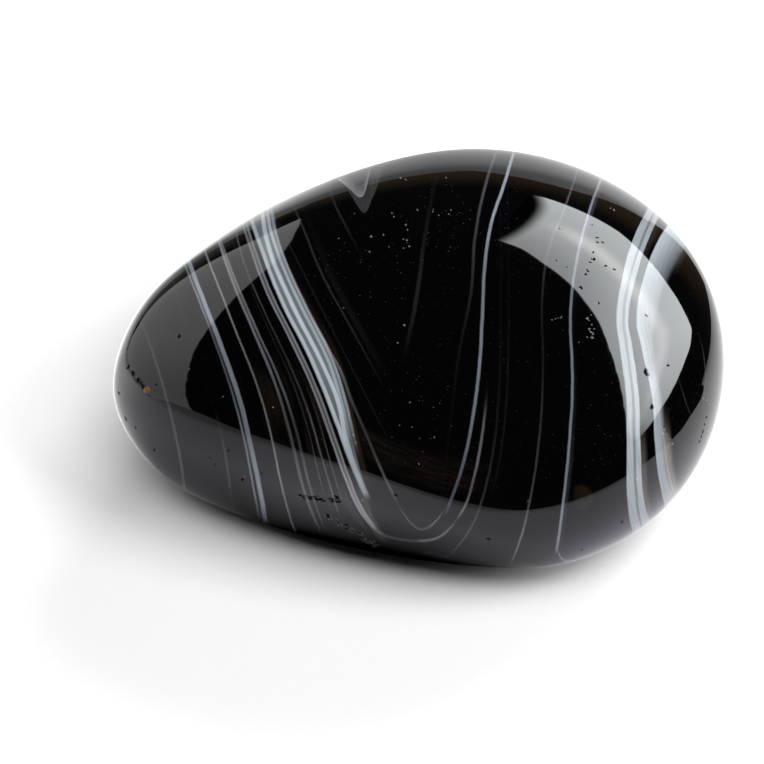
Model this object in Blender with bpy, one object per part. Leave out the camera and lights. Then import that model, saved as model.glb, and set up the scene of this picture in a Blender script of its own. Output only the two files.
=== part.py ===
"""A tumbled onyx pebble, broad at its right end and drawn out to a blunt point at its left.

Metres, +Z up. The long axis runs along X and the pebble lies on a small rubbed flat. The
origin is on the ground under the middle of its outline.
"""

import math

import bmesh
import bpy
import numpy as np

MM = 0.001
NAME = "stone"

# The ellipsoid that the pebble departs from, in mm.
HALF_LENGTH = 17.9
HALF_WIDTH = 15.4
HALF_HEIGHT = 8.6

# Gentle swells, in mm. Each stands out by its height times x**i * y**j * z**k of the
# direction (x, y, z) that the surface faces, and a negative height draws the surface in.
SWELLS = (
    (-0.76, (3, 0, 0)),  # the left end reaches further than the right
    (1.26, (0, 3, 0)),  # the back bulges further than the front
    (1.98, (1, 2, 0)),  # the right end is broad and the left end narrow
    (-1.09, (2, 1, 0)),  # both ends sit a little towards the front
    (0.61, (2, 0, 1)),  # the ends are full above their middle
    (0.61, (0, 4, 0)),  # front and back stay proud to the last
    (-1.46, (2, 2, 0)),  # the four corners are worn away
    (1.11, (0, 2, 2)),  # shoulders along the front and back
    (1.80, (2, 0, 2)),  # shoulders over the ends
    (1.15, (3, 1, 0)),  # the outline leans, back to the right and front to the left
    (-0.55, (1, 0, 3)),  # the crown lies left of the middle
    (0.26, (0, 1, 3)),  # and a touch to the back
    (1.20, (1, 2, 1)),  # the broad end is deepest above
)

# Long flats that rubbing has worn, each with: the way that it faces, as degrees round from +X
# and degrees up; degrees that its length is turned; how far it spreads across and along, in
# degrees of facing; and its depth in mm.
FLATS = (
    (-108.5, -28.5, 9.0, 32.5, 12.5, 1.60),  # low along the front
    (125.5, 37.0, 23.0, 20.0, 14.5, 1.11),  # high at the back left
)

REST_DEPTH = 0.30  # how deep the flat that the pebble lies on is worn, in mm
SMOOTHNESS = 5  # icosphere subdivisions: about 1 mm between points


def unit(azimuth, height):
    """The unit vector at this azimuth and height, both in degrees."""
    a, h = math.radians(azimuth), math.radians(height)
    return np.array([math.cos(h) * math.cos(a), math.cos(h) * math.sin(a), math.sin(h)])


def surface(facing):
    """The points, in mm, at which the pebble faces along each row of unit vectors.

    The pebble is given by how far its tangent plane lies from the middle in each direction,
    so the outline seen from any side is smooth.
    """
    halves = np.array([HALF_LENGTH, HALF_WIDTH, HALF_HEIGHT])
    points = facing * halves**2 / np.linalg.norm(facing * halves, axis=1)[:, None]
    for height, powers in SWELLS:
        swell = height * np.prod(facing ** np.array(powers), axis=1)
        slope = np.zeros_like(facing)
        for axis, power in enumerate(powers):
            if power:
                lower = np.array(powers) - np.eye(3, dtype=int)[axis]
                slope[:, axis] = height * power * np.prod(facing**lower, axis=1)
        points += slope - ((sum(powers) - 1) * swell)[:, None] * facing
    for azimuth, up, turn, across, along, depth in FLATS:
        middle = unit(azimuth, up)
        level = unit(azimuth + 90, 0)
        turned = math.radians(turn)
        run = math.cos(turned) * level + math.sin(turned) * np.cross(middle, level)
        wide, long = math.radians(across), math.radians(along)
        side = facing @ run
        dip = -depth * np.exp((facing @ middle - 1) / wide**2 - 0.5 * (side / long) ** 2)
        slope = middle / wide**2 - np.outer(side, run) / long**2
        slope -= (slope * facing).sum(axis=1)[:, None] * facing
        points += dip[:, None] * (facing + slope)
    return points


def ground_origin():
    """The point, in mm, on the ground under the middle of the outline."""
    ends = surface(np.concatenate([np.eye(3), -np.eye(3)]))
    low, high = ends.min(axis=0), ends.max(axis=0)
    return np.array([(low[0] + high[0]) / 2, (low[1] + high[1]) / 2, low[2] + REST_DEPTH])


def onyx_material():
    material = bpy.data.materials.new("black onyx")
    material.use_nodes = True
    shader = material.node_tree.nodes["Principled BSDF"]
    shader.inputs["Base Color"].default_value = (0.022, 0.020, 0.020, 1)
    shader.inputs["Roughness"].default_value = 0.06
    shader.inputs["Metallic"].default_value = 0
    shader.inputs["IOR"].default_value = 1.54
    material.diffuse_color = (0.022, 0.020, 0.020, 1)
    return material


def build():
    for old in list(bpy.data.objects):
        bpy.data.objects.remove(old, do_unlink=True)
    collection = bpy.data.collections.new("onyx stone")
    bpy.context.scene.collection.children.link(collection)

    shape = bmesh.new()
    bmesh.ops.create_icosphere(shape, subdivisions=SMOOTHNESS, radius=1)
    facing = np.array([v.co.normalized() for v in shape.verts])
    placed = (surface(facing) - ground_origin()) * MM
    for vert, point in zip(shape.verts, placed):
        vert.co = point

    cut = bmesh.ops.bisect_plane(
        shape,
        geom=shape.verts[:] + shape.edges[:] + shape.faces[:],
        dist=1e-7,
        plane_co=(0, 0, 0),
        plane_no=(0, 0, -1),
        clear_outer=True,
    )
    rim = [item for item in cut["geom_cut"] if isinstance(item, bmesh.types.BMEdge)]
    bmesh.ops.edgeloop_fill(shape, edges=rim)
    bmesh.ops.dissolve_degenerate(shape, dist=2e-6, edges=shape.edges[:])
    bmesh.ops.recalc_face_normals(shape, faces=shape.faces[:])

    mesh = bpy.data.meshes.new(NAME)
    shape.to_mesh(mesh)
    shape.free()
    mesh.materials.append(onyx_material())
    mesh.shade_smooth()
    mesh.set_sharp_from_angle(angle=math.radians(12))
    collection.objects.link(bpy.data.objects.new(NAME, mesh))


build()
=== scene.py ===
import math

import bmesh
import bpy
import numpy as np
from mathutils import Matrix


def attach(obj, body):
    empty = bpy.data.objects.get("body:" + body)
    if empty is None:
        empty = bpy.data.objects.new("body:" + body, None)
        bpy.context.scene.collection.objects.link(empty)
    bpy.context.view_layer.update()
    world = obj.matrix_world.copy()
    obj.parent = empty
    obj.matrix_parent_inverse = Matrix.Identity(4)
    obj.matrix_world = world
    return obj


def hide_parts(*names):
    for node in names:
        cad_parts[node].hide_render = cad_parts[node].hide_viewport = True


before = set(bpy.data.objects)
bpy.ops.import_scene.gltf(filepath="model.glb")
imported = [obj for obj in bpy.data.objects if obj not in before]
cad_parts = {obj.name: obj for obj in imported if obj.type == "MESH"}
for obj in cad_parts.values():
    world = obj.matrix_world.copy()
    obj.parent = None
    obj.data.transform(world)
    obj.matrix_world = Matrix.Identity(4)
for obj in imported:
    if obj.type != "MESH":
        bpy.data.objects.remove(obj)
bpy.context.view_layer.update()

MM = 0.001

# ---------------------------------------------------------------- the pebble's shape, in mm

HALVES = (17.9, 15.4, 8.6)  # the ellipsoid that the pebble departs from
SWELLS = (  # each stands out by its height times x**i * y**j * z**k of the way the surface faces
    (-0.76, (3, 0, 0)),
    (1.26, (0, 3, 0)),
    (1.98, (1, 2, 0)),
    (-1.09, (2, 1, 0)),
    (0.61, (2, 0, 1)),
    (0.61, (0, 4, 0)),
    (-1.46, (2, 2, 0)),
    (1.11, (0, 2, 2)),
    (1.80, (2, 0, 2)),
    (1.15, (3, 1, 0)),
    (-0.55, (1, 0, 3)),
    (0.26, (0, 1, 3)),
    (1.20, (1, 2, 1)),
)
FLATS = (  # azimuth, height, turn, spread across and along in degrees; depth in mm
    (-108.5, -28.5, 9.0, 32.5, 12.5, 1.60),
    (125.5, 37.0, 23.0, 20.0, 14.5, 1.11),
)
REST_DEPTH = 0.30  # mm cut off flat at the bottom
SMOOTHNESS = 7  # times that the icosphere's faces are split
SHARP_ANGLE = 12  # degrees at which an edge looks sharp


def unit(azimuth, height):
    """The unit vector at this azimuth from +X and this height, both in degrees."""
    a, h = math.radians(azimuth), math.radians(height)
    return np.array([math.cos(h) * math.cos(a), math.cos(h) * math.sin(a), math.sin(h)])


def surface(facing):
    """The points, in mm, at which the pebble faces along each row of unit vectors."""
    halves = np.array(HALVES)
    points = facing * halves**2 / np.linalg.norm(facing * halves, axis=1)[:, None]
    for height, powers in SWELLS:
        swell = height * np.prod(facing ** np.array(powers), axis=1)
        slope = np.zeros_like(facing)
        for axis, power in enumerate(powers):
            if power:
                lower = np.array(powers) - np.eye(3, dtype=int)[axis]
                slope[:, axis] = height * power * np.prod(facing**lower, axis=1)
        points += slope - ((sum(powers) - 1) * swell)[:, None] * facing
    for azimuth, up, turn, across, along, depth in FLATS:
        middle = unit(azimuth, up)
        level = unit(azimuth + 90, 0)
        turned = math.radians(turn)
        run = math.cos(turned) * level + math.sin(turned) * np.cross(middle, level)
        wide, long = math.radians(across), math.radians(along)
        side = facing @ run
        dip = -depth * np.exp((facing @ middle - 1) / wide**2 - 0.5 * (side / long) ** 2)
        slope = middle / wide**2 - np.outer(side, run) / long**2
        slope -= (slope * facing).sum(axis=1)[:, None] * facing
        points += dip[:, None] * (facing + slope)
    return points


def ground_origin():
    """The point on the ground under the middle of the outline."""
    ends = surface(np.concatenate([np.eye(3), -np.eye(3)]))
    low, high = ends.min(axis=0), ends.max(axis=0)
    return np.array([(low[0] + high[0]) / 2, (low[1] + high[1]) / 2, low[2] + REST_DEPTH])


# Small pits, and pale spots that are painted glints along with some dust spots, as (mm across, mm
# along, mm radius), and rows of them, each from one end to the other with how many pits and pale spots
# it has and how far they stray, in mm. Across is +X, and along is the way from the front of the ground
# to the back of the top, at 45 degrees.
PITS = (
    (7.2, 12.8, 0.13), (7.1, 11.8, 0.08), (8.2, 12.8, 0.06), (10.1, 13.1, 0.08), (10.4, 12.3, 0.08),
    (10.4, 12.0, 0.08), (10.7, 12.0, 0.09), (10.1, 11.4, 0.09), (10.1, 11.0, 0.12), (9.9, 10.8, 0.08),
    (9.7, 10.3, 0.10), (9.6, 10.1, 0.09), (10.8, 10.6, 0.09), (11.3, 10.4, 0.08), (9.3, 9.3, 0.11),
    (9.4, 9.5, 0.05), (10.1, 9.2, 0.06), (10.3, 8.4, 0.08), (9.4, 12.2, 0.06), (8.5, 10.5, 0.06),
    (7.9, 10.9, 0.06), (8.2, 11.4, 0.07), (13.1, 7.7, 0.09), (13.0, 4.4, 0.20), (13.3, 2.4, 0.14),
    (14.3, 4.8, 0.09), (-17.5, 3.2, 0.12), (-17.1, 1.7, 0.12), (-16.5, 1.2, 0.10),
    (-15.4, -0.1, 0.13), (-15.2, 3.7, 0.09), (-15.8, 3.4, 0.18), (-13.9, 6.5, 0.11),
    (-10.2, -1.8, 0.14), (-9.1, -1.4, 0.10), (-12.1, -0.5, 0.08), (-11.8, -0.9, 0.08),
    (-11.0, -0.1, 0.08), (16.6, 1.8, 0.12), (16.5, 1.4, 0.10), (16.4, 1.0, 0.12), (16.3, 0.7, 0.10),
    (16.2, 0.4, 0.11), (3.9, -5.1, 0.12), (11.6, -4.2, 0.11), (9.3, -5.8, 0.09), (6.1, -3.0, 0.07),
    (-1.4, -2.6, 0.09),
)
# Pale spots: glints painted where pits and cracks catch the lights, with some dust spots.
GLINTS_AND_SPECKS = (
    (-2.8, 12.3, 0.09), (-2.1, 12.4, 0.07), (-0.8, 13.0, 0.08), (-0.7, 12.7, 0.06), (-0.1, 13.9, 0.07),
    (0.8, 13.8, 0.06), (-2.9, 11.4, 0.07), (-1.6, 13.7, 0.06), (-1.5, 13.5, 0.06), (-0.6, 11.7, 0.07),
    (-3.8, 13.7, 0.05), (-4.7, 12.2, 0.05), (-1.1, 15.9, 0.08), (-0.8, 15.8, 0.07), (1.6, 15.9, 0.06),
    (-0.9, 7.1, 0.07), (-1.3, 6.1, 0.06), (-13.3, 4.6, 0.06), (-11.3, 3.0, 0.06), (-4.4, 8.1, 0.05),
    (-8.4, 2.4, 0.06), (-0.6, 2.7, 0.06), (-1.2, 1.4, 0.05), (-0.5, 1.3, 0.05), (0.8, 0.7, 0.07),
    (-0.1, -0.8, 0.05), (11.5, 14.0, 0.09), (11.3, 14.1, 0.07), (12.4, -1.7, 0.07), (9.9, 6.4, 0.10),
    (14.5, 0.3, 0.10), (13.9, 0.9, 0.07), (16.6, 2.8, 0.07), (16.4, 2.9, 0.06), (-10.1, -1.6, 0.07),
    (-3.3, -2.9, 0.07), (6.1, -2.9, 0.05),
)
ROWS = (
    ((-7.1, -2.75), (-4.5, -2.95), 14, 4, 0.08),
    ((-5.6, -3.65), (-2.5, -5.55), 14, 7, 0.10),
    ((0.3, -5.95), (1.6, -6.25), 3, 3, 0.05),
    ((13.6, 1.8), (14.3, 0.5), 2, 7, 0.05),
    ((7.5, 7.4), (8.6, 7.7), 0, 6, 0.03),
    ((9.8, 7.6), (9.9, 6.5), 2, 6, 0.07),
    ((9.1, 6.2), (9.7, 6.5), 0, 3, 0.03),
    ((-3.95, 1.2), (-3.6, 0.2), 1, 4, 0.04),
    ((-17.0, 4.8), (-15.9, 3.5), 16, 0, 0.01),
    ((-1.4, 12.2), (-0.2, 10.9), 0, 5, 0.25),
    ((1.0, 13.5), (2.6, 15.0), 0, 5, 0.35),
    ((-7.0, -2.80), (-4.6, -2.95), 9, 2, 0.06),
    ((-5.4, -3.80), (-2.6, -5.50), 12, 7, 0.08),
)
ROW_SIZES = ((0.08, 0.15), (0.03, 0.06))  # mm, radii of the pits and of the pale spots, painted glints and dust, in rows
ROW_SEED = 4
PIT_DEPTH = 0.8  # of each pit's radius
PIT_MARGIN = 0.16  # mm round each pit that is cut as finely
PIT_CUTS = 5
PIT_TURN = 2.4  # radians from one pit's long side to the next one's
HIDDEN = 100  # mm added to the distance of what lies on the far side
NEIGHBOURS = 12  # points that the depth of a spot is worked out from
LEAST_LENGTH = 0.9  # of the vectors that say which way the smooth surface faces


def strewn(spots, kind):
    """The places of all the pits (kind 0) or pale spots, painted glints and dust (kind 1), with those
    of the rows.
    """
    spots = list(spots)
    random = np.random.default_rng(ROW_SEED)
    for start, end, *counts, stray in ROWS:
        for step in random.uniform(0, 1, counts[kind]):
            place = np.array(start) + (np.array(end) - start) * step + random.normal(0, stray, 2)
            spots.append((*place, random.uniform(*ROW_SIZES[kind])))
    return spots


def nearness(points, facing, across, along):
    """How far each point is from a spot on the pebble's near side, in mm, and which way."""
    side = points[:, 0] - across
    rise = (points[:, 1] + points[:, 2]) * math.sqrt(0.5) - along
    depth = (points[:, 2] - points[:, 1]) * math.sqrt(0.5)
    flat = np.hypot(side, rise) + (facing[:, 2] < facing[:, 1]) * HIDDEN
    nearest = np.argsort(flat)[:NEIGHBOURS]
    ground = np.column_stack([np.ones(NEIGHBOURS), side[nearest], rise[nearest]])
    spot_depth = np.linalg.lstsq(ground, depth[nearest], rcond=None)[0][0]
    return np.hypot(flat, depth - spot_depth), np.arctan2(rise, side)


def cut_finely_round(shape, pits, origin):
    """Cut the faces round each pit finely enough to hold it."""
    facing = np.array([v.co.normalized() for v in shape.verts])
    points = surface(facing) - origin
    shape.verts.ensure_lookup_table()
    faces = set()
    for across, along, radius in pits:
        away = nearness(points, facing, across, along)[0]
        for index in np.flatnonzero(away < radius + PIT_MARGIN):
            faces.update(shape.verts[int(index)].link_faces)
    edges = list({edge for face in faces for edge in face.edges})
    bmesh.ops.subdivide_edges(shape, edges=edges, cuts=PIT_CUTS, use_grid_fill=True)
    bmesh.ops.triangulate(shape, faces=[face for face in shape.faces if len(face.verts) > 3])


def pit_depths(points, facing, pits):
    """How deep the pits go at each point, in mm; they are a little long and three-cornered."""
    depths = np.zeros(len(points))
    for number, (across, along, radius) in enumerate(pits):
        away, turn = nearness(points, facing, across, along)
        turn -= number * PIT_TURN
        reach = away / (radius * (1 + 0.3 * np.cos(2 * turn) + 0.2 * np.sin(3 * turn)))
        depths = np.maximum(depths, PIT_DEPTH * radius * np.clip(1 - reach**2, 0, 1))
    return depths


def set_exact_normals(mesh):
    """Shade the smooth surface by the way it truly faces; the pits and the base stay as they are."""
    normals = np.empty((len(mesh.loops), 3))
    mesh.corner_normals.foreach_get("vector", normals.ravel())
    owners = np.empty(len(mesh.loops), dtype=int)
    mesh.loops.foreach_get("vertex_index", owners)
    ways = np.empty((len(mesh.vertices), 3))
    mesh.attributes["facing"].data.foreach_get("vector", ways.ravel())
    lengths = np.linalg.norm(ways, axis=1)
    smooth = lengths[owners] > LEAST_LENGTH
    base = max(mesh.polygons, key=lambda face: face.loop_total)
    smooth[list(base.loop_indices)] = False
    exact = ways[owners] / np.maximum(lengths[owners], LEAST_LENGTH)[:, None]
    normals[smooth] = exact[smooth]
    mesh.normals_split_custom_set(normals)
    mesh.attributes.remove(mesh.attributes["facing"])


def pebble_mesh():
    """The pebble with its pits, cut off flat where it rests on the ground."""
    shape = bmesh.new()
    bmesh.ops.create_icosphere(shape, subdivisions=SMOOTHNESS, radius=1)
    origin = ground_origin()
    pits = strewn(PITS, 0)
    cut_finely_round(shape, pits, origin)
    facing = np.array([v.co.normalized() for v in shape.verts])
    points = surface(facing) - origin
    depths = pit_depths(points, facing, pits)[:, None]
    points -= depths * facing
    layer = shape.verts.layers.float_vector.new("facing")
    for vert, point, normal in zip(shape.verts, points * MM, facing * (depths == 0)):
        vert.co = point
        vert[layer] = normal
    cut = bmesh.ops.bisect_plane(
        shape,
        geom=shape.verts[:] + shape.edges[:] + shape.faces[:],
        dist=1e-7,
        plane_co=(0, 0, 0),
        plane_no=(0, 0, -1),
        clear_outer=True,
    )
    rim = [item for item in cut["geom_cut"] if isinstance(item, bmesh.types.BMEdge)]
    bmesh.ops.edgeloop_fill(shape, edges=rim)
    bmesh.ops.recalc_face_normals(shape, faces=shape.faces[:])
    mesh = bpy.data.meshes.new("pebble")
    shape.to_mesh(mesh)
    shape.free()
    mesh.shade_smooth()
    mesh.set_sharp_from_angle(angle=math.radians(SHARP_ANGLE))
    set_exact_normals(mesh)
    return mesh


# ---------------------------------------------------------------- shader maths


class Value:
    """A socket of a material, on which Python's operators add Math nodes."""

    def __init__(self, finish, socket):
        self.finish, self.socket = finish, socket

    def math(self, operation, *values):
        return self.finish.node("ShaderNodeMath", {"operation": operation}, *values)

    def __add__(self, other):
        return self.math("ADD", self, other)

    def __sub__(self, other):
        return self.math("SUBTRACT", self, other)

    def __rsub__(self, other):
        return self.math("SUBTRACT", other, self)

    def __mul__(self, other):
        return self.math("MULTIPLY", self, other)

    def __truediv__(self, other):
        return self.math("DIVIDE", self, other)

    def __rtruediv__(self, other):
        return self.math("DIVIDE", other, self)

    def __pow__(self, other):
        return self.math("POWER", self, other)

    def __abs__(self):
        return self.math("ABSOLUTE", self)

    __radd__ = __add__
    __rmul__ = __mul__

    def over(self, other):
        return self.math("MAXIMUM", self, other)

    def step(self, start, end, low=0.0, high=1.0, ease="SMOOTHSTEP"):
        """low where this is at start, high where it is at end, and eased between them."""
        settings = {"interpolation_type": ease, "clamp": ease == "LINEAR"}
        return self.finish.node("ShaderNodeMapRange", settings, self, start, end, low, high)


class Finish:
    """A material whose nodes are added one at a time, each with its settings before its inputs."""

    def __init__(self, name):
        self.material = bpy.data.materials.new(name)
        self.material.use_nodes = True
        self.tree = self.material.node_tree
        self.shader = self.tree.nodes["Principled BSDF"]

    def node(self, kind, settings, *values, output=0, **named):
        node = self.tree.nodes.new(kind)
        for key, setting in settings.items():
            if key == "stops":
                self.set_stops(node.color_ramp, setting)
            elif key == "points":
                self.set_points(node.mapping, setting)
            elif key == "extend":
                node.mapping.extend = setting
            else:
                setattr(node, key, setting)
        for socket, value in [*zip(node.inputs, values), *self.by_name(node, named)]:
            self.put(value, socket)
        return Value(self, node.outputs[output])

    def by_name(self, node, named):
        return [(node.inputs[name.replace("_", " ")], value) for name, value in named.items()]

    def put(self, value, socket):
        if isinstance(value, Value):
            self.tree.links.new(value.socket, socket)
        elif value is not None:
            socket.default_value = value

    def tint(self, amount, colour, under):
        """A colour added by this amount to another."""
        scale = self.node("ShaderNodeVectorMath", {"operation": "SCALE"}, colour, Scale=amount)
        return self.node("ShaderNodeVectorMath", {"operation": "ADD"}, under, scale)

    def mix(self, share, start, end):
        """The colour start where share is 0, end where it is 1."""
        ends = (share, *[None] * 5, start, end)
        return self.node("ShaderNodeMix", {"data_type": "RGBA"}, *ends, output=2)

    def set_stops(self, ramp, stops):
        while len(ramp.elements) < len(stops):
            ramp.elements.new(0.5)
        for element, (place, colour) in zip(ramp.elements, stops):
            element.position = place
            element.color = colour if isinstance(colour, tuple) else (colour,) * 3 + (1,)

    def set_points(self, mapping, points):
        curve = mapping.curves[0]
        while len(curve.points) < len(points):
            curve.points.new(0.5, 0.5)
        for point, place in zip(curve.points, points):
            point.location = place
        mapping.update()

    def place(self):
        """The x, y and z of the spot on the piece, in mm."""
        spot = self.node("ShaderNodeTexCoord", {}, output=3)
        axes = self.node("ShaderNodeSeparateXYZ", {}, spot).socket.node.outputs
        return [Value(self, axis) * 1000 for axis in axes]


# ---------------------------------------------------------------- the stage


def add(name, mesh, material):
    obj = bpy.data.objects.new(name, mesh)
    bpy.context.scene.collection.objects.link(obj)
    mesh.materials.append(material)
    return obj


def plain(name, colour, glow=0.0):
    finish = Finish(name)
    finish.put((*colour, 1), finish.shader.inputs["Base Color"])
    finish.put(0.9, finish.shader.inputs["Roughness"])
    finish.put(0.0, finish.shader.inputs["Specular IOR Level"])
    finish.put((*colour, 1), finish.shader.inputs["Emission Color"])
    finish.put(glow, finish.shader.inputs["Emission Strength"])
    return finish.material


def lit(name, light):
    """A finish that only glows, by the light that a function gives."""
    finish = Finish(name)
    finish.put((0, 0, 0, 1), finish.shader.inputs["Base Color"])
    finish.put(0.0, finish.shader.inputs["Specular IOR Level"])
    finish.put(light(finish), finish.shader.inputs["Emission Color"])
    finish.put(1.0, finish.shader.inputs["Emission Strength"])
    return finish.material


def seen_by(obj, camera=False, glossy=False, diffuse=False):
    obj.visible_camera = camera
    obj.visible_glossy = glossy
    obj.visible_diffuse = diffuse
    obj.visible_shadow = False
    obj.visible_transmission = False
    return obj


def as_mesh(name, shape):
    mesh = bpy.data.meshes.new(name)
    shape.to_mesh(mesh)
    shape.free()
    return mesh


# The stage's colours, and its lengths in metres.
WHITE = (1.0, 1.0, 1.0)
FLOOR_WHITE = (0.88, 0.88, 0.88)
FLOOR_RADIUS = 0.045
INNER_SHARE = 0.6  # of the way to the edge, at most, that the reflected floor lies level
FAR_RADIUS = 1.4
BACKDROP_RADIUS = 1.45
ROOM_RADIUS = 1.6
SWEEP_RADIUS = 0.40
EYE_HEIGHT = 0.0105  # the height on the pebble that the floor's edge is seen from

# Where the white floor ends as the pebble reflects it: degrees from +Y towards +X, degrees up.
FLOOR_EDGE = (
    (-178, 1.9), (-172, 2.2), (-165, 0.4), (-160, 1.4), (-155, 3.0), (-151, 3.3), (-147, 2.0),
    (-140, 0.8), (-134, -0.1), (-128, 0.9), (-118, 4.1), (-112, 3.9), (-105, 2.0), (-98, -5.2),
    (-93, -4.0), (-86, -4.1), (-77, -2.1), (-67, -0.9), (-58, -2.5), (-46, 0.0), (-44, 0.5),
    (-38, 2.0), (-34, 2.7), (-29.5, 4.6), (-25, 3.1), (-22, 4.3), (-19, 3.5), (-17, 3.0), (-15, 4.9),
    (-12, 3.5), (-10, 1.0), (-8, -0.4), (-5, -1.4), (0, -1.4), (4, 0.2), (6, 1.5), (10, 2.8),
    (13, 2.7), (15, 1.6), (17, -0.6), (19, -2.0), (24, -3.9), (30, -7.5), (38, -11), (48, -13),
    (51, -8.0), (54, -4.6), (57, -2.0), (62, 0.3), (68, 0.2), (72, -3.0), (76, -8.0), (80, -11),
    (84, -12.3), (90, -10), (96, -10), (102, -7.5), (109, -5.0), (115, -2.5), (125, -1.8),
    (134, -1.9), (143, -2.8), (158, -3.4), (164, -3.5), (171, -1.8), (176, -0.1),
)


def floor_edge(turn):
    """The x, y and z of the floor's edge at this azimuth from +Y, in degrees."""
    azimuths, heights = np.array(FLOOR_EDGE).T
    up = math.radians(np.interp(turn, azimuths, heights, period=360))
    reach = SWEEP_RADIUS
    if up < 0:
        reach = min(SWEEP_RADIUS, EYE_HEIGHT / math.tan(-up))
    turn = math.radians(turn)
    z = 0 if reach < SWEEP_RADIUS else EYE_HEIGHT + reach * math.tan(up)
    return reach * math.sin(turn), reach * math.cos(turn), z


def disc_mesh(name, radius, steps=96):
    shape = bmesh.new()
    bmesh.ops.create_circle(shape, segments=steps, radius=radius, cap_ends=True)
    return as_mesh(name, shape)


def ring_mesh(name, inner, outer, steps=96):
    shape = bmesh.new()
    bmesh.ops.create_circle(shape, segments=steps, radius=outer)
    grown = bmesh.ops.extrude_edge_only(shape, edges=shape.edges[:])["geom"]
    verts = [item for item in grown if isinstance(item, bmesh.types.BMVert)]
    bmesh.ops.scale(shape, verts=verts, vec=(inner / outer, inner / outer, 1))
    bmesh.ops.recalc_face_normals(shape, faces=shape.faces[:])
    return as_mesh(name, shape)


def reflected_floor_mesh(steps=360):
    """The floor as far as the pebble reflects it, with a rising and falling edge."""
    shape = bmesh.new()
    bmesh.ops.create_circle(shape, segments=steps, radius=1, cap_ends=True)
    bmesh.ops.inset_region(shape, faces=shape.faces[:], thickness=0.5)
    outer = {v for v in shape.verts if v.co.xy.length > 0.99}
    for vert in shape.verts:
        turn = 90 - math.degrees(math.atan2(vert.co.y, vert.co.x))
        edge = floor_edge(turn)
        if vert in outer:
            vert.co = edge
        else:
            reach = min(FLOOR_RADIUS, INNER_SHARE * math.hypot(*edge[:2]))
            vert.co = vert.co.normalized() * reach
    return as_mesh("reflected floor", shape)


def turn_ramp(finish, x, y, stops):
    """A value by the azimuth from +Y towards +X, from (degrees, value) pairs."""
    turn = finish.node("ShaderNodeMath", {"operation": "ARCTAN2"}, x, y)
    places = [((degrees + 180) / 360, value) for degrees, value in stops]
    return finish.node("ShaderNodeValToRGB", {"stops": places}, turn / (2 * math.pi) + 0.5)


# The reflected floor's painted glow by azimuth, and where the painted shadow on it starts and
# ends, in units of 20 mm.
FLOOR_GLOW = (
    (-180, 0.88), (-165, 0.88), (-152, 1.10), (-142, 0.90), (-130, 0.76), (-119, 0.74), (-108, 0.88),
    (-100, 1.05), (-94, 1.35), (-88, 1.75), (-81, 2.1), (-68, 2.05), (-50, 2.2), (-38, 1.8),
    (-33, 1.9), (-28, 1.5), (-24, 1.1), (-20, 1.1), (-10, 0.6), (0, 0.54), (10, 0.75), (28, 1.35),
    (60, 1.32), (80, 1.35), (88, 1.20), (120, 1.05), (137, 0.95), (150, 0.90), (180, 0.88),
)
FLOOR_SHADE = (
    (-180, 0.62), (-157, 0.61), (-143, 0.61), (-130, 0.58), (-118, 0.42), (-108, 0.20), (-90, 0.2),
    (137, 0.25), (150, 0.48), (164, 0.58), (180, 0.61),
)
FLOOR_LIT = (
    (-180, 1.22), (-143, 1.22), (-130, 1.40), (-118, 1.6), (-108, 1.75), (-95, 1.3), (-80, 1.0),
    (0, 0.9), (137, 0.9), (150, 1.1), (164, 1.2), (180, 1.22),
)
FLOOR_UNIT = 20  # mm
FLOOR_FALL = (30, 220, 1, 0.5)  # from and to this many mm away, and the share of glow left there
FLOOR_TURN = (-20, 5)  # mm along Y, from the front's colour to the back's
FRONT_COLOUR = (0.98, 0.96, 1.06, 1)
BACK_COLOUR = (1.0, 0.99, 1.0, 1)


def painted_floor_light(finish):
    """The floor's painted glow, with a painted shadow towards the pebble, fading far away from it."""
    x, y = finish.place()[:2]
    reach = (x * x + y * y) ** 0.5
    glow = turn_ramp(finish, x, y, FLOOR_GLOW)
    start = turn_ramp(finish, x, y, FLOOR_SHADE) * FLOOR_UNIT
    end = turn_ramp(finish, x, y, FLOOR_LIT) * FLOOR_UNIT
    light = glow * reach.step(start, end) * reach.step(*FLOOR_FALL, "SMOOTHERSTEP")
    hue = finish.mix(y.step(*FLOOR_TURN), FRONT_COLOUR, BACK_COLOUR)
    return finish.tint(light, hue, (0, 0, 0))


def direction(azimuth, height):
    """The way to this azimuth from +Y towards +X and this height, in degrees."""
    return unit(90 - azimuth, height)


PANEL_DISTANCE = 0.5
PANEL_STEPS = (160, 12)
PEBBLE_MIDDLE = np.array([0.00076, -0.00136, 0.00804])

# The lower and upper edges of the two lights that the pebble reflects: azimuth, height.
BRIGHT_LOW = (
    (10.5, 12.3), (12, 12.1), (17, 13.2), (23, 14.2), (31, 17.3), (38, 18.9), (45, 19),
    (51, 18.2), (57, 21.6), (62, 25.3), (68, 28.5), (75, 31.2), (83, 33.3), (91, 34.2), (105, 33.9),
)
BRIGHT_HIGH = (
    (10.5, 34.8), (15, 36.2), (20, 39.1), (28, 42.3), (34, 44.8), (47, 48.8), (54, 50.4),
    (65, 51.4), (76, 50.9), (86, 49.2), (95, 46), (102, 42.1), (105, 37),
)
DIM_LOW = (
    (-113, 3.6), (-111, 3.2), (-105, 1.5), (-98, -5), (-86, -4), (-77, -1.6), (-67, -0.4), (-58, -1.4),
    (-50, 1.5), (-47, 5), (-43, 5.8), (-39, 8.3), (-35, 11.2), (-31, 14), (-28, 15.4), (-25, 16.8),
    (-22, 17.5), (-19, 17.8), (-13.5, 15),
)
DIM_HIGH = (
    (-113, 4), (-111, 6.2), (-107, 13.6), (-99, 24.6), (-90, 32.8), (-81, 37.6), (-73, 39.9),
    (-64, 41.4), (-56, 42.1), (-47, 41.8), (-39, 40.6), (-32, 38.7), (-26, 36.3), (-22.5, 34.2),
    (-19.3, 30.6), (-17, 26.9), (-14.3, 19.6), (-13.5, 15.4),
)


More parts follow.
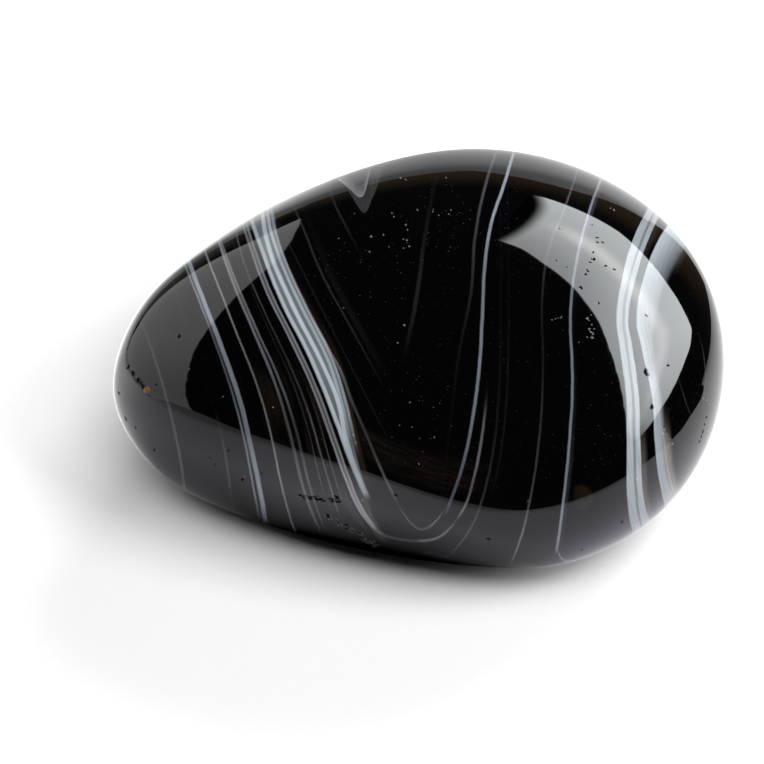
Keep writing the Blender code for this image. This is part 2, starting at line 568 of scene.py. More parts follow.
def light_patch(name, low, high, finish, glossy=False, diffuse=False):
    """A light on a sphere round the pebble, between two edges given as azimuth and height."""
    start, end = low[0][0], low[-1][0]
    shape = bmesh.new()
    steps_along, steps_up = PANEL_STEPS
    bmesh.ops.create_grid(shape, x_segments=steps_along, y_segments=steps_up, size=0.5, calc_uvs=True)
    layer = shape.loops.layers.uv.verify()
    places = {vert: (vert.co.x + 0.5, vert.co.y + 0.5) for vert in shape.verts}
    for face in shape.faces:
        for loop in face.loops:
            loop[layer].uv = places[loop.vert]
    for vert, (along, up) in places.items():
        azimuth = start + (end - start) * along
        bottom = np.interp(azimuth, *np.array(low).T)
        top = np.interp(azimuth, *np.array(high).T)
        height = bottom + (top - bottom) * up
        vert.co = direction(azimuth, height) * PANEL_DISTANCE + PEBBLE_MIDDLE
    return seen_by(add(name, as_mesh(name, shape), finish), glossy=glossy, diffuse=diffuse)


def square(*edges):
    """The edges of a light patch from its first and last azimuth and its two heights."""
    start, end, bottom, top = edges
    return ((start, bottom), (end, bottom)), ((start, top), (end, top))


def patch_place(finish):
    """How far along a light patch and how far up it a spot lies, from 0 to 1."""
    spot = finish.node("ShaderNodeUVMap", {})
    axes = finish.node("ShaderNodeSeparateXYZ", {}, spot).socket.node.outputs
    return Value(finish, axes[0]), Value(finish, axes[1])


# The bright light's steps, along it and up it: from, to, and how bright it is at each.
BRIGHT_EDGE = (0.0, 0.025)
BRIGHT_RISE = (0.02, 0.45, 0.6, 1)
BRIGHT_FALLS = ((0.55, 1.0, 1, 0.6), (0.85, 1.0, 1, 0.4))
BRIGHT_BELOW, BRIGHT_ABOVE = (0, 0.45, 0.95, 1), (0.5, 1, 1, 0.75)
BRIGHT_GLOW = 8.1
BRIGHT_COLOUR = (0.95, 0.99, 1.01)
BITE_DEPTH, BITE_POWER = 0.021, 2.2
STREAK_ENDS = ((0.03, 0.12), (0.55, 0.95, 1, 0))
STREAK_GLOW = 2.4
STREAK_COLOUR = (1.0, 0.96, 0.90)
STREAK_MIDDLE, STREAK_HALF = 0.47, 0.15


def bright_light(finish):
    """Faint at its back end, which is bitten out, with a warm streak along its middle."""
    along, up = patch_place(finish)
    bite = (1 - abs(up * 2 - 1) ** BITE_POWER) * BITE_DEPTH
    rise = (along - bite).step(*BRIGHT_EDGE) * along.step(*BRIGHT_RISE)
    fall = along.step(*BRIGHT_FALLS[0]) * along.step(*BRIGHT_FALLS[1])
    profile = up.step(*BRIGHT_BELOW) * up.step(*BRIGHT_ABOVE)
    cool = finish.tint(rise * fall * profile * BRIGHT_GLOW, BRIGHT_COLOUR, (0, 0, 0))
    ends = along.step(*STREAK_ENDS[0]) * along.step(*STREAK_ENDS[1])
    streak = ends * abs(up - STREAK_MIDDLE).step(0.0, STREAK_HALF, 1, 0)
    return finish.tint(streak * STREAK_GLOW, STREAK_COLOUR, cool)


def dim_light(finish):
    """Dimmer at its front end, and brighter low down in the middle."""
    along, up = patch_place(finish)
    return along.step(0.1, 0.6, 0.8, 1.2) * up.step(0, 0.3, 1.12, 1)


# The dark room: its colours, and how brown and how olive it is low down, by azimuth.
ROOM_BLACK = (0.012, 0.012, 0.015, 1)
ROOM_BROWN = (0.100, 0.072, 0.045, 1)
ROOM_OLIVE = (0.25, 0.25, 0.22, 1)
BROWN_TURN = (
    (-180, 0.1), (-60, 0.1), (-45, 0.0), (-20, 1.0), (27, 1.0), (42, 0.3), (60, 0.1), (180, 0.1),
)
OLIVE_TURN = ((-180, 0.0), (-48, 0.0), (-42, 1.0), (-24, 1.0), (-17, 0.0), (180, 0.0))
BROWN_SLOPE = (0.02, 0.22)  # from full to none, as the height over the distance
OLIVE_SLOPE = (0.05, 0.3)
ROOM_LEVEL = 8  # mm, the height on the pebble that it is seen from


def room_light(finish):
    """The dark room behind the lights, faintly brown low down at the back."""
    x, y, z = finish.place()
    reach = (x * x + y * y) ** 0.5
    slope = (z - ROOM_LEVEL) / reach
    brown = slope.step(*BROWN_SLOPE, 1, 0) * turn_ramp(finish, x, y, BROWN_TURN)
    olive = slope.step(*OLIVE_SLOPE, 1, 0) * turn_ramp(finish, x, y, OLIVE_TURN)
    return finish.mix(olive, finish.mix(brown, ROOM_BLACK, ROOM_BROWN), ROOM_OLIVE)


def dome_mesh(name, radius):
    dome = bmesh.new()
    bmesh.ops.create_uvsphere(dome, u_segments=48, v_segments=24, radius=radius)
    return as_mesh(name, dome)


SOFT_LIGHTS = (  # first and last azimuth, lower and upper height, and glow
    ("back soft light", (15, 60, 20, 50), 7.7),
    ("side soft light", (105, 135, 30, 56), 11.4),
    ("front soft light", (150, 210, 50, 60), 12.5),
    ("wide soft light", (120, 240, 50, 70), 3.0),
)


def build_stage():
    floor = add("floor", disc_mesh("floor", FLOOR_RADIUS), plain("white floor", FLOOR_WHITE))
    seen_by(floor, camera=True, diffuse=True)
    # A sheet seen only in reflections, glowing with painted floor light and a painted shadow.
    mirrored = add("reflected floor", reflected_floor_mesh(), lit("reflected floor", painted_floor_light))
    seen_by(mirrored, glossy=True)
    pale = plain("pale surround", WHITE, glow=1.0)
    far = add("far floor", ring_mesh("far floor", FLOOR_RADIUS, FAR_RADIUS), pale)
    seen_by(far, camera=True)
    seen_by(add("backdrop", dome_mesh("backdrop", BACKDROP_RADIUS), pale), camera=True)
    seen_by(add("room", dome_mesh("room", ROOM_RADIUS), lit("room", room_light)), glossy=True)
    light_patch("bright panel", BRIGHT_LOW, BRIGHT_HIGH, lit("bright light", bright_light), glossy=True)
    light_patch("dim panel", DIM_LOW, DIM_HIGH, lit("dim light", dim_light), glossy=True)
    for name, edges, glow in SOFT_LIGHTS:
        finish = plain(name, WHITE, glow=glow)
        light_patch(name, *square(*edges), finish, diffuse=True)


CAMERA_PLACE = (-0.0021835, -0.249468, 0.254909)  # metres
CAMERA_TILT = 45  # degrees up from straight down
IMAGE_SIDE = 764  # pixels
FOCAL_PIXELS = 5950
SENSOR = 36  # mm


def set_camera():
    camera = bpy.data.objects.new("camera", bpy.data.cameras.new("camera"))
    bpy.context.scene.collection.objects.link(camera)
    camera.location = CAMERA_PLACE
    camera.rotation_euler = (math.radians(CAMERA_TILT), 0, 0)
    camera.data.sensor_width = SENSOR
    camera.data.lens = FOCAL_PIXELS / IMAGE_SIDE * SENSOR
    camera.data.clip_start, camera.data.clip_end = 0.01, 4
    bpy.context.scene.camera = camera


# ---------------------------------------------------------------- the finish

BLUE = (0.75, 0.84, 1.0)
COOL = (0.82, 0.92, 1.0)
GREY = (0.90, 0.91, 1.0)
DARK_BROWN = (1.0, 0.66, 0.36)
PALE_BROWN = (1.0, 0.90, 0.78)
RUST = (1.0, 0.5, 0.18)
RUST_PALENESS = 0.2
RUST_PLACE = (-15.8, 3.4)
# How pale the spots are: painted glints, with some dust spots.
GLINT_AND_SPECK_PALENESS = 0.16
DUST_PALENESS = 0.07
BLACK = (0.0004, 0.0004, 0.0005)
ALONG = (-9, 19)  # mm along the layers, from the front of the pebble to its back
ACROSS = (-20, 20)  # mm across them, from its left end to its right

GLOSS_ROUGHNESS = 0.03
CHALCEDONY_IOR = 1.54
WAVER = 0.05  # mm by which the layers wander
RAGGED = 0.10  # mm by which the edges of the painted glints and dust spots do
CURVE_END = 0.02  # of a curve's width, by which it runs on level beyond its end points

# Where each layer's line runs, as (mm along, mm across).
COURSES = {
    "far": ((-2.1, -13.71), (0.4, -14.02), (3.2, -14.70), (5.9, -15.58), (7.3, -16.16)),
    "next": ((-2.8, -10.90), (1.3, -11.51), (4.7, -12.57), (6.4, -13.21), (9.1, -14.18)),
    "a": ((-4.0, -8.95), (-2.1, -9.22), (0.2, -9.68), (2.9, -10.33), (5.7, -11.33), (8.5, -12.47),
          (10.7, -13.38)),
    "a left": ((-3.8, -9.34), (-2.1, -9.61), (0.2, -10.00), (2.9, -10.67), (5.2, -11.45),
               (8.6, -12.80), (10.8, -13.75)),
    "b": ((-4.5, -7.34), (-2.0, -7.96), (0.8, -8.52), (3.5, -9.28), (6.3, -10.40), (9.1, -11.55),
          (11.5, -12.55)),
    "c": ((-4.5, -5.87), (-2.4, -6.63), (1.3, -7.53), (4.0, -8.39), (6.8, -9.59), (9.6, -10.81),
          (12.0, -11.72)),
    "c right": ((-4.7, -5.47), (-2.4, -6.24), (1.3, -7.14), (4.0, -8.07), (6.8, -9.37),
                (9.6, -10.62), (12.0, -11.60)),
    "thread": ((-3.4, -4.76), (-0.7, -5.55), (2.1, -6.36), (4.8, -7.45), (7.6, -8.81),
               (10.4, -10.06), (11.8, -10.52)),
    "d": ((-4.2, -2.98), (-3.4, -3.53), (-1.7, -4.25), (0.7, -5.10), (3.4, -6.10), (6.2, -7.40),
          (9.0, -8.82), (11.8, -9.90), (13.1, -10.36)),
    "w left": ((-2.4, -3.21), (-0.8, -3.89), (1.7, -4.80), (5.1, -6.19), (8.6, -7.98),
               (11.8, -9.26), (13.6, -9.93)),
    "w": ((-2.5, -3.10), (-0.8, -3.80), (0.5, -4.20), (2.8, -4.71), (5.1, -5.70), (8.6, -7.49),
          (11.8, -8.81), (14.0, -9.25)),
    "w right": ((0.5, -3.95), (1.5, -4.18), (2.8, -4.49), (5.1, -5.24), (8.6, -7.00),
                (11.8, -8.37), (14.1, -8.96)),
    "w edge": ((-2.6, -2.98), (-0.7, -3.55), (1.4, -4.03), (2.8, -4.32), (5.1, -4.92),
               (8.6, -6.71), (11.8, -8.07), (14.2, -8.60)),
    "e": ((-2.6, -1.53), (-1.1, -2.24), (0.7, -3.01), (2.5, -3.79), (4.8, -4.70), (5.6, -5.16),
          (8.0, -6.40)),
    "inner": ((4.5, -2.60), (7.3, -4.16), (10.1, -5.67), (13.2, -6.95), (14.8, -7.71)),
    "inner back": ((11.0, -3.34), (12.1, -3.87), (13.0, -4.34), (14.0, -4.82), (14.9, -5.19)),
    "scratch": ((2.0, 16.3), (3.6, 16.5), (5.0, 16.5), (6.7, 16.2)),
    "scratch left": ((1.9, 15.6), (3.0, 15.2), (4.6, 14.8)),
    "inner left": ((0.6, -1.84), (4.1, -3.63), (8.3, -5.78), (11.5, -7.41)),
    "f": ((-3.0, 1.68), (-0.8, 2.42), (1.9, 2.99), (4.6, 3.36), (7.9, 3.59), (10.7, 3.77),
          (13.1, 4.19), (15.5, 5.01), (17.4, 5.64)),
    "f left": ((2.3, 1.80), (5.8, 2.28), (9.0, 2.94), (12.3, 3.23), (15.3, 3.87), (17.8, 4.73)),
    "veil": ((6.8, -0.58), (9.2, -0.12), (12.0, 0.26), (15.4, 0.89)),
    "tip": ((-5.2, -2.15), (-4.2, -2.75), (-3.0, -3.25), (-1.8, -3.45)),
    "g": ((-4.1, 1.98), (-3.2, 2.53), (-1.4, 3.07), (0.4, 3.44), (4.0, 3.83)),
    "g right": ((-5.9, 1.89), (-4.2, 3.00), (-2.4, 3.62), (-0.1, 4.12), (2.5, 4.42), (8.6, 4.66)),
    "h": ((-6.8, 5.12), (-5.0, 5.74), (-3.1, 6.18), (0.9, 6.78), (5.0, 7.02), (8.7, 7.05),
          (11.6, 7.52), (14.0, 8.51), (16.4, 9.45)),
    "i": ((-5.5, 7.85), (-3.7, 8.05), (0.4, 8.47), (3.7, 8.69), (8.2, 8.69), (11.1, 9.16),
          (14.0, 10.04), (16.1, 10.95)),
    "j": ((-5.0, 12.39), (-3.5, 11.95), (0.5, 11.80), (2.8, 11.80), (6.0, 11.47), (7.4, 11.33),
          (9.8, 11.74), (12.2, 12.53), (14.3, 13.71)),
    "j core": ((-4.6, 12.90), (-3.5, 12.53), (0.5, 12.23), (2.8, 12.21), (6.0, 11.88),
               (7.4, 11.76), (9.8, 12.19), (12.2, 13.09), (14.0, 14.03)),
    "j edge": ((-4.2, 13.38), (-3.5, 13.02), (0.5, 12.58), (2.8, 12.55), (6.0, 12.20),
               (7.4, 12.03), (9.8, 12.54), (12.2, 13.45), (13.8, 14.34)),
    "k": ((-3.5, 14.27), (-1.8, 13.74), (0.5, 13.43), (2.8, 13.33), (6.0, 12.73), (7.4, 12.51),
          (9.8, 13.01), (12.2, 14.08), (13.2, 14.81)),
    "k edge": ((-2.8, 14.90), (-1.8, 14.39), (0.5, 13.98), (2.8, 13.83), (6.0, 13.50),
               (7.4, 13.67), (9.8, 14.44), (11.9, 15.80)),
}

# The course each line follows and how far it stands to its right, how far it fades to its left
# and right, all in mm, and how pale it is as (mm along, paleness).
BLUE_LINES = (
    ("a", 0, 0.23, 0.15, ((-5, 0), (-4, 0.14), (-2.6, 0.32), (-1.2, 0.30), (0.8, 0.19), (5.8, 0.19),
                          (8.6, 0.32), (11.5, 0.28))),
    ("a left", 0, 0.09, 0.09, ((-4.6, 0), (-3.5, 0.09), (-1.8, 0.21), (0.7, 0.14), (3.5, 0.07),
                               (6.4, 0.07), (8.9, 0.2), (10.8, 0.16))),
    ("f", 0, 0.13, 0.13, ((-3.9, 0), (-3.0, 0.06), (-2.2, 0.06), (1.1, 0.11), (4.3, 0.13),
                          (10.3, 0.14), (14.5, 0.27), (17.3, 0.32))),
    ("i", 0, 0.10, 0.12, ((-6.2, 0), (-5.6, 0.17), (-4.7, 0.19), (-1.2, 0.14), (2.9, 0.125),
                          (8.3, 0.12), (11.6, 0.15), (15.3, 0.21))),
    ("i", 0.10, 0.1, 0.25, ((-6.2, 0), (-5.6, 0.008), (2, 0.003), (9, 0.003), (15.3, 0.03))),
)
COOL_LINES = (
    ("w left", 0, 0.18, 0.18, ((-3, 0), (-2.4, 0.28), (-0.5, 0.37), (6, 0.39), (13.6, 0.37))),
    ("w", 0, 0.21, 0.21, ((-3, 0), (-2.4, 0.24), (0, 0.37), (3, 0.43), (9, 0.46), (14, 0.44))),
    ("w right", -0.05, 0.14, 0.18, ((-0.4, 0), (0.8, 0.15), (2.8, 0.28), (6, 0.31), (14, 0.33))),
    ("w right", 0.20, 0.10, 0.14, ((-0.4, 0), (0.8, 0.1), (2.8, 0.22), (6, 0.23), (14, 0.24))),
)
GREY_LINES = (
    ("far", 0, 0.12, 0.12, ((-5, 0), (-2.0, 0.068), (2.3, 0.05), (6.5, 0.028), (8, 0))),
    ("next", 0, 0.09, 0.09, ((-3, 0.008), (-1.8, 0.05), (-0.3, 0.045), (1, 0.012), (10, 0.01))),
    ("b", 0, 0.09, 0.09, ((-5.4, 0), (-4.3, 0.10), (-3, 0.13), (-1.8, 0.20), (0.5, 0.11),
                          (5.8, 0.09), (9.6, 0.16), (12, 0.15))),
    ("c", 0, 0.12, 0.12, ((-5, 0), (-3.8, 0.09), (-1.8, 0.11), (0.4, 0.045), (5.2, 0.085),
                          (8.7, 0.13), (12, 0.17))),
    ("c right", 0, 0.11, 0.11, ((-5, 0), (-3.8, 0.05), (-1.8, 0.085), (0.4, 0.028), (3.2, 0.055),
                                (5.2, 0.06), (9, 0.1), (12, 0.12))),
    ("c right", 0.7, 0.06, 0.06, ((-3, 0), (-1.8, 0.05), (0.5, 0.02), (3, 0.012), (9, 0.004))),
    ("thread", 0, 0.08, 0.08, ((-4, 0), (-3, 0.09), (-1.2, 0.07), (4.3, 0.018), (8, 0.022),
                               (12.5, 0.05))),
    ("thread", 0.42, 0.06, 0.06, ((-4, 0), (-1.8, 0.055), (1, 0.018), (6, 0.0), (12.5, 0.0))),
    ("d", 0, 0.10, 0.10, ((-4.8, 0), (-4.3, 0.18), (-2.9, 0.30), (-1.1, 0.25), (0.5, 0.16),
                          (8, 0.15), (13, 0.14))),
    ("d", 0.225, 0.10, 0.10, ((-4.7, 0), (-4.2, 0.16), (-2.9, 0.26), (-1.1, 0.21), (0.5, 0.15),
                              (8, 0.14), (13, 0.13))),
    ("d", 0.11, 0.17, 0.17, ((-4.8, 0), (-4.4, 0.22), (-3, 0.22), (-1.5, 0.1), (0.5, 0.055),
                             (8, 0.05), (13, 0.05))),
    ("e", 0, 0.12, 0.12, ((-3.2, 0), (-2.6, 0.05), (0.7, 0.022), (3.4, 0.042), (5.2, 0.08),
                          (8, 0.03))),
    ("inner", 0, 0.08, 0.11, ((3.5, 0), (4.5, 0.003), (7, 0.010), (9, 0.012), (13, 0.016))),
    ("inner", 0.35, 0.1, 0.5, ((3.5, 0), (7, 0.0025), (13, 0.001))),
    ("inner left", 0, 0.08, 0.08, ((0.2, 0), (1.5, 0.003), (6, 0.004), (11.5, 0.006))),
    ("inner back", 0, 0.10, 0.10, ((10.4, 0), (12, 0.003), (13.5, 0.011), (15, 0.014))),
    ("scratch", 0, 0.05, 0.05, ((1.6, 0), (2.6, 0.012), (5, 0.02), (6.8, 0))),
    ("scratch left", 0, 0.05, 0.05, ((1.6, 0), (2.4, 0.016), (3.6, 0.01), (4.6, 0))),
    ("f left", 0, 0.12, 0.12, ((2.3, 0.001), (9.2, 0.010), (12.8, 0.03), (16.3, 0.06))),
    ("veil", 0, 0.16, 0.16, ((5, 0), (8.7, 0.009), (12, 0.005), (16, 0.002))),
    ("g", 0, 0.11, 0.11, ((-4.2, 0), (-3.4, 0.10), (-2.4, 0.06), (-0.5, 0.08), (1.8, 0.045),
                          (2.8, 0.008), (4.2, 0.0))),
    ("g right", 0, 0.10, 0.10, ((-6.4, 0), (-5.2, 0.045), (-4.3, 0.04), (-3, 0.02), (-1, 0.01),
                                (3, 0.003), (9, 0.001))),
    ("g right", 0.45, 0.08, 0.08, ((-3, 0), (-1, 0.003), (4, 0.003), (9, 0.001))),
    ("h", 0, 0.09, 0.09, ((-7, 0), (-5.6, 0.10), (-2.8, 0.034), (0, 0.02), (9.3, 0.01),
                          (15.4, 0.06))),
)

# The folds where two lines meet, as (mm across, mm along), how pale they are, as (mm across,
# paleness), and how far they fade, in mm. The small one at the back comes up in two tables.
BACK_FOLD = (
    (-4.89, 16.02), (-4.49, 15.68), (-3.95, 15.15), (-3.42, 14.77), (-3.18, 15.14), (-3.01, 15.78),
)
GREY_FOLDS = (
    (((-1.53, -2.58), (-1.16, -3.33), (-0.78, -3.91), (-0.41, -4.31), (-0.01, -4.55),
      (0.44, -4.45), (0.94, -4.01), (1.30, -3.52), (1.62, -3.03)),
     ((-1.5, 0.0), (-0.9, 0.06), (0, 0.055), (0.9, 0.09), (1.5, 0.0)), 0.11),
    (((-3.50, -3.47), (-3.04, -4.11), (-2.64, -4.55), (-2.18, -4.87), (-1.15, -5.18),
      (-0.01, -5.24), (0.56, -5.19), (1.07, -5.01), (1.80, -4.35), (2.14, -3.86)),
     ((-3.2, 0.0), (-2.6, 0.10), (-2, 0.05), (-0.2, 0.05), (0.1, 0.13), (1.4, 0.12), (2.3, 0.0)), 0.12),
    (BACK_FOLD, ((-4.9, 0.3), (-3.9, 0.16), (-3.42, 0.2), (-3.0, 0.2)), 0.12),
)
BLUE_FOLD = (
    ((7.79, -5.18), (7.87, -5.66), (8.00, -6.08), (8.29, -6.40), (8.73, -6.52), (9.24, -6.40),
     (9.80, -6.23)),
    ((7.7, 0.0), (7.95, 0.16), (8.4, 0.12), (9.3, 0.06), (10, 0.0)), 0.12,
)

# The nested folds at the back, filled with grey: (mm across, mm along), how pale, and how far up.
NESTS = (
    (((-4.80, 16.04), (-4.07, 14.96), (-3.59, 14.15), (-3.18, 13.75), (-2.89, 14.33), (-2.54, 15.14),
      (-2.30, 15.90)), 0.03, 3.0),
    (BACK_FOLD, 0.14, 0.9),
)
NEST_EDGE = 0.08  # mm
NEST_FADE = 0.3  # of the paleness is left at the top of each

# Browner lines, in the same way as the others: darker ones, then paler ones.
DARK_BROWN_LINES = (
    ("w edge", 0.16, 0.16, 0.30, ((-2.5, 0), (-1.0, 0.012), (1, 0.014), (4, 0.009), (8, 0.003),
                                  (12, 0.001))),
    ("a", -0.1, 0.5, 0.5, ((0, 0), (2, 0.002), (4, 0.002), (6, 0))),
)
PALE_BROWN_LINES = (
    ("k edge", 0.0, 0.05, 0.55, ((-4, 0.17), (-1, 0.15), (0.4, 0.12), (1.4, 0.02), (3, 0), (10, 0.0),
                                 (11.5, 0.02))),
    ("j edge", 0.0, 0.05, 0.45, ((-4.4, 0.07), (-1, 0.05), (1, 0.012), (3, 0.0), (10, 0.0),
                                 (12, 0.01))),
    ("tip", 0.0, 0.35, 0.40, ((-5.5, 0), (-5.0, 0.035), (-2.6, 0.035), (-1.6, 0.01), (-1, 0))),
    ("d", -0.35, 0.4, 0.2, ((-5, 0), (-4.0, 0.02), (-2.6, 0.02), (-1.6, 0))),
)
# The sag of the brown layer as (mm across, mm along), how strong the streaks are along the layers,
# where the patch is, and how strong each stain is.
BROWN_LAYER = ((-3.6, 0.7), (-2.35, -0.1), (0, -1.0), (2.35, -1.5), (4.7, -1.8), (6.5, -1.9))
STREAKS_ALONG = ((-1.5, 0), (0.3, 1), (2.8, 1), (4.8, 0.4), (7, 0))
PATCH_PLACE = (9.1, -2.75)
LAYER_BROWN, STREAKS_BROWN, PATCH_BROWN = 0.0042, 0.0055, 0.007

# Where fine dust lies thickest: (mm across, mm along, radius), and how thick it is elsewhere.
DUSTY = ((1.8, 13.5, 3.2), (5.4, 13.8, 2.0), (-3.2, 10.5, 3.2), (11.2, 2.5, 2.0), (0.0, 2.0, 2.6))
DUST_ELSEWHERE = 0.25
DUST_CELLS = 5.0  # a millimetre


class Pattern(Finish):
    """The layers of the stone, which run straight through it away from the front."""

    def __init__(self, name):
        super().__init__(name)
        x, y, z = self.spot = self.place()
        self.along = (y + z) * math.sqrt(0.5)
        self.depth = (z - y) * math.sqrt(0.5)
        waver = self.noise(x, self.along, 1.1, 1.1)
        self.across = x + waver * WAVER - WAVER / 2
        self.courses = {}
        self.rise = self.portion(self.along, ALONG)
        self.run = self.portion(self.across, ACROSS)

    def portion(self, value, limits):
        low, high = limits
        return (value - low) / (high - low)

    def noise(self, across, along, fine, fine_along, detail=2.0, seed=0.0):
        """Noise from 0 to 1, with so many cells a millimetre across and along the layers."""
        spot = self.node("ShaderNodeCombineXYZ", {}, across * fine, along * fine_along, seed)
        settings = {"noise_dimensions": "3D"}
        return self.node("ShaderNodeTexNoise", settings, Vector=spot, Scale=1.0, Detail=detail)

    def curve(self, portion, start, end, pairs, low, high, extend="HORIZONTAL"):
        """A smooth curve through the pairs, read at a portion of the way from start to end."""
        points = [((p - start) / (end - start), (q - low) / (high - low)) for p, q in pairs]
        if extend == "HORIZONTAL":
            before, after = points[0], points[-1]
            before, after = (before[0] - CURVE_END, before[1]), (after[0] + CURVE_END, after[1])
            points = [before, *points, after]
        read = self.node("ShaderNodeFloatCurve", {"extend": extend, "points": points}, None, portion)
        return read * (high - low) + low

    def gap(self, course, aside=0.0):
        """How far to the right of a course's line a spot lies, in mm."""
        if course not in self.courses:
            place = self.curve(self.rise, *ALONG, COURSES[course], *ACROSS, "EXTRAPOLATED")
            self.courses[course] = self.across - place
        gap = self.courses[course]
        return gap - aside if aside else gap

    def level(self, pairs):
        """A paleness that changes along the layers."""
        return self.curve(self.rise, *ALONG, pairs, 0, 1)

    def line(self, course, aside, left, right, paleness):
        gap = self.gap(course, aside)
        shape = gap.step(-left, -left / 3) * gap.step(right / 3, right, 1, 0)
        return shape * self.level(paleness)

    def lines(self, rows, ground=0.0):
        """The palest of the lines in a table and the ground under them."""
        for row in rows:
            ground = self.line(*row).over(ground)
        return ground

    def fold(self, course, paleness, half):
        gap = self.along - self.curve(self.run, *ACROSS, course, *ALONG, "EXTRAPOLATED")
        return abs(gap).step(half / 3, half, 1, 0) * self.curve(self.run, *ACROSS, paleness, 0, 1)

    def nests(self):
        """The grey that fills the nested folds, palest at the bottom of each."""
        found = 0.0
        for course, pale, height in NESTS:
            gap = self.along - self.curve(self.run, *ACROSS, course, *ALONG, "EXTRAPOLATED")
            filled = gap.step(-NEST_EDGE, NEST_EDGE) * gap.step(0.1, height, pale, pale * NEST_FADE)
            found = filled.over(found)
        return found

    def distance(self, here, there):
        settings = {"operation": "DISTANCE"}
        return self.node("ShaderNodeVectorMath", settings, here, there, output=1)

    def near_side(self):
        """1 on the upper front of the pebble, 0 on its lower back."""
        return self.depth.step(0.0, 1.0)

    def between(self, left, right, soft_left=0.1, soft_right=0.1):
        """1 between two courses, with soft edges."""
        inside = self.gap(left).step(-soft_left / 2, soft_left / 2)
        return inside * self.gap(right).step(-soft_right / 2, soft_right / 2, 1, 0)


def white_band(pattern):
    """The pale grey ground of the widest band, brighter towards its right."""
    pale = pattern.level(((-3, 0), (-2, 0.12), (1, 0.10), (3, 0.12), (8, 0.13), (14, 0.13)))
    return pattern.between("w left", "w edge", 0.1, 0.12) * pale


def right_ribbon(pattern):
    """A pale ribbon with a darker thread inside."""
    pale = pattern.level(((-5, 0.28), (-2, 0.34), (3, 0.31), (8, 0.26), (14, 0.32)))
    thread = abs(pattern.gap("j core")).step(0.03, 0.13, 0.5, 0)
    return pattern.between("j", "j edge", 0.09, 0.09) * pale * (1 - thread)


def last_ribbon(pattern):
    """A pale ribbon that fades towards its right, most of all at the back."""
    pale = pattern.level(((-4, 0.33), (0, 0.31), (5, 0.31), (9, 0.28), (12, 0.40), (14, 0.42)))
    width = pattern.gap("k") - pattern.gap("k edge")
    fade = pattern.level(((-3, 0.15), (2, 0.4), (4.5, 0.7), (9, 0.8), (11, 0.8), (13, 0.3)))
    return pattern.between("k", "k edge", 0.09, 0.4) * pale * (1 - pattern.gap("k") / width * fade)


def brown_layer(pattern):
    """Grainy brown in the layer that sags across the front."""
    sag = pattern.curve(pattern.run, *ACROSS, BROWN_LAYER, *ALONG, "EXTRAPOLATED")
    gap = pattern.along - sag
    grain = pattern.noise(pattern.across, gap, 0.5, 4.5, detail=3.0).step(0.35, 0.7, 0.25, 1.2)
    reach = pattern.across.step(-3.9, -3.5) * pattern.across.step(0.5, 5.5, 1, 0)
    return abs(gap).step(0.5, 1.25, 1, 0) * reach * grain


def brown_streaks(pattern):
    """Brown streaks among the lines on the left."""
    streaks = pattern.noise(pattern.gap("c"), pattern.along, 2.6, 0.2, detail=3.0, seed=7.0)
    among = pattern.between("b", "w left", 0.8, 0.1) * pattern.level(STREAKS_ALONG)
    return streaks.step(0.42, 0.65) * among


def brown_patch(pattern):
    """A brown half disc on the right of the front."""
    across, along = PATCH_PLACE
    spot = (pattern.across - across) ** 2 + (pattern.along - along) ** 2
    return spot.step(0.35, 0.7, 1, 0) * pattern.across.step(across - 0.5, across - 0.1)


def brown_stain(pattern):
    stain = brown_layer(pattern) * LAYER_BROWN + brown_streaks(pattern) * STREAKS_BROWN
    return stain + brown_patch(pattern) * PATCH_BROWN


def marks(pattern, spots):
    """1 in the middle of each spot, falling to 0 at its edge."""
    ragged = pattern.noise(pattern.across, pattern.along, 9.0, 9.0, seed=5.0) * RAGGED - RAGGED / 2
    here = pattern.node("ShaderNodeCombineXYZ", {}, pattern.across + ragged, pattern.along - ragged)
    found = 0.0
    for across, along, radius in spots:
        away = pattern.distance(here, (across, along, 0))
        found = away.step(radius * 0.2, radius, 1, 0).over(found)
    return found * pattern.near_side()


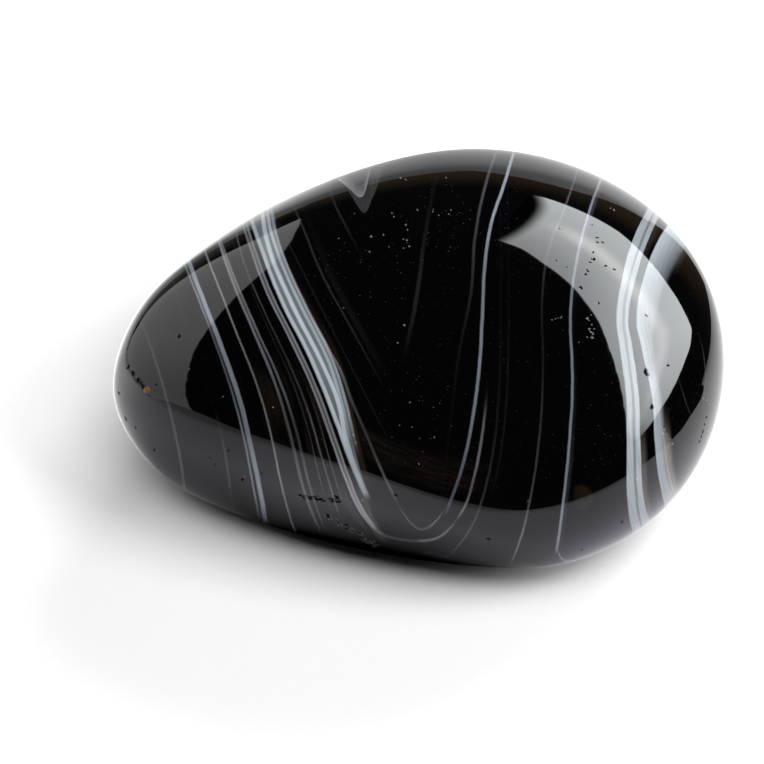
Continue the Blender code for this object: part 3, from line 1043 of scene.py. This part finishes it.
def dust(pattern):
    """Fine pale dots, most of them in a few dusty places."""
    x, y, z = pattern.spot
    place = pattern.node("ShaderNodeCombineXYZ", {}, x, y, z)
    settings = {"voronoi_dimensions": "3D", "feature": "F1"}
    dots = pattern.node("ShaderNodeTexVoronoi", settings, Vector=place, Scale=DUST_CELLS)
    pick = Value(pattern, dots.socket.node.outputs["Color"])
    here = pattern.node("ShaderNodeCombineXYZ", {}, pattern.across, pattern.along)
    dusty = DUST_ELSEWHERE
    for across, along, radius in DUSTY:
        away = pattern.distance(here, (across, along, 0))
        dusty = away.step(radius * 0.3, radius * 1.2, 1, DUST_ELSEWHERE).over(dusty)
    chosen = pick.step(0.66, 0.86)
    return dots.step(0.08, 0.24, 1, 0) * chosen * dusty


def fibres(pattern, course, seed):
    """Fine streaks along the layers, that follow a course."""
    noise = pattern.noise(pattern.gap(course), pattern.along, 9.0, 0.35, detail=3.0, seed=seed)
    return noise.step(0.25, 0.75, 0.80, 1.15, "LINEAR")


def rust_speck(pattern):
    """A small rusty spot at the blunt point."""
    away = (pattern.across - RUST_PLACE[0]) ** 2 + (pattern.along - RUST_PLACE[1]) ** 2
    return away.step(0.01, 0.06, 1, 0) * pattern.near_side()


def grey_lines(pattern):
    grey = pattern.lines(GREY_LINES, pattern.nests())
    for fold in GREY_FOLDS:
        grey = grey.over(pattern.fold(*fold))
    return grey


def onyx():
    """Black stone, with each kind of line added to it in its own colour."""
    finish = Pattern("onyx")
    fibre = fibres(finish, "w", 0.0)
    right_fibre = fibres(finish, "k", 3.0)
    bands = finish.lines(COOL_LINES, white_band(finish)) * fibre
    ribbons = right_ribbon(finish).over(last_ribbon(finish)) * right_fibre
    blue = finish.lines(BLUE_LINES, finish.fold(*BLUE_FOLD)) * fibre
    brown = finish.lines(DARK_BROWN_LINES, brown_stain(finish))
    pale_brown = finish.lines(PALE_BROWN_LINES) * right_fibre
    # Painted glints with dust spots, and fine dust.
    glints_and_dust = marks(finish, strewn(GLINTS_AND_SPECKS, 1)) * GLINT_AND_SPECK_PALENESS + dust(finish) * DUST_PALENESS
    colour = BLACK
    for amount, tint in (
        (bands.over(ribbons), COOL),
        (blue, BLUE),
        (grey_lines(finish) * fibre, GREY),
        (brown, DARK_BROWN),
        (pale_brown, PALE_BROWN),
        (rust_speck(finish) * RUST_PALENESS, RUST),
        (glints_and_dust, GREY),
    ):
        colour = finish.tint(amount, tint, colour)
    finish.put(colour, finish.shader.inputs["Base Color"])
    finish.put(GLOSS_ROUGHNESS, finish.shader.inputs["Roughness"])
    finish.put(CHALCEDONY_IOR, finish.shader.inputs["IOR"])
    return finish.material


build_stage()
set_camera()
pebble = add("pebble", pebble_mesh(), onyx())
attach(pebble, "root")
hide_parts("stone")
bpy.context.scene.view_settings.view_transform = "Standard"
